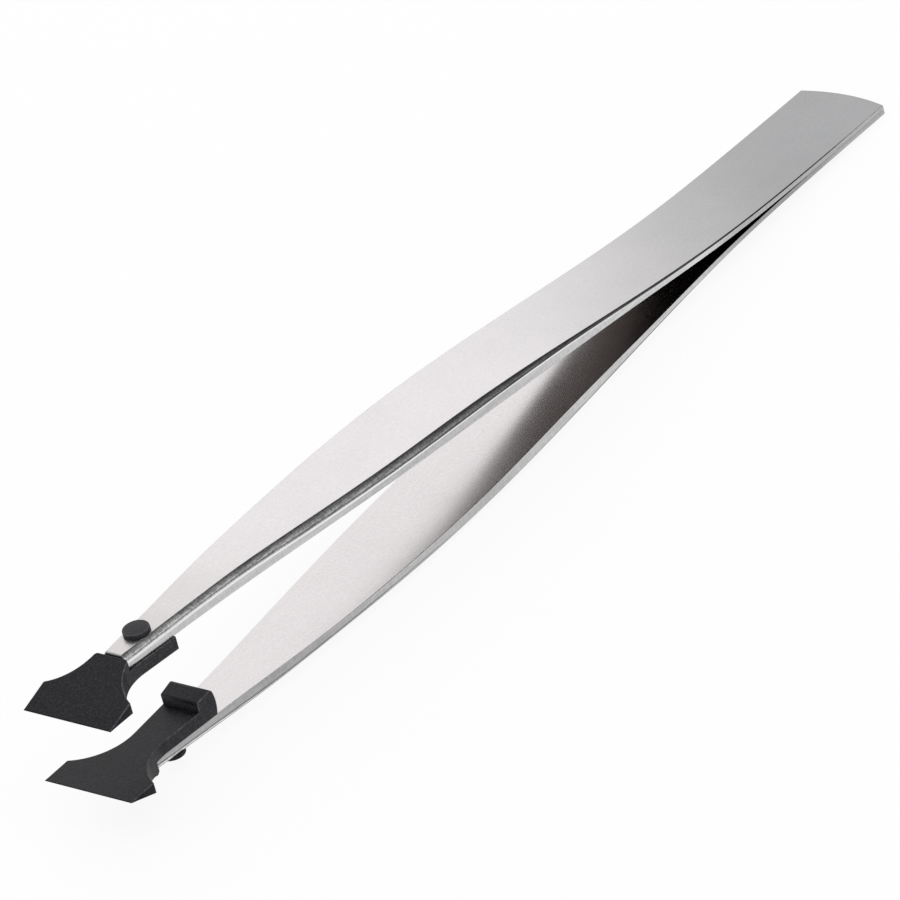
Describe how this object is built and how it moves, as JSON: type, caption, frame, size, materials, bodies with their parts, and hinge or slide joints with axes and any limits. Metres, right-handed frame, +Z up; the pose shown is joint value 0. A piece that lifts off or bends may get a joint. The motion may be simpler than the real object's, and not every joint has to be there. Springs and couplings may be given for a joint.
{
  "type": "anti-static tweezers",
  "caption": "Stainless steel tweezers with bowed flat arms, welded at the rear, and black static-dissipative plastic tips shaped as wide wedge blades for holding wafers.",
  "frame": {"origin": "middle of the object's footprint, on the surface that it lies on", "axes": "+Z up, +X along the length from the welded rear end towards the tips, +Y across the arms; it lies on the rear edge and the belly of the lower arm, so its mid-plane rises by about 4 degrees towards the tips"},
  "size_m": [0.1308, 0.0116, 0.0167],
  "materials": {
    "steel": "satin ground stainless steel, anti-glare",
    "plastic": "matte black static-dissipative plastic"
  },
  "bodies": {
    "root": {"upper_arm": "steel", "lower_arm": "steel", "upper_tip": "plastic", "lower_tip": "plastic"}
  },
  "joints": []
}
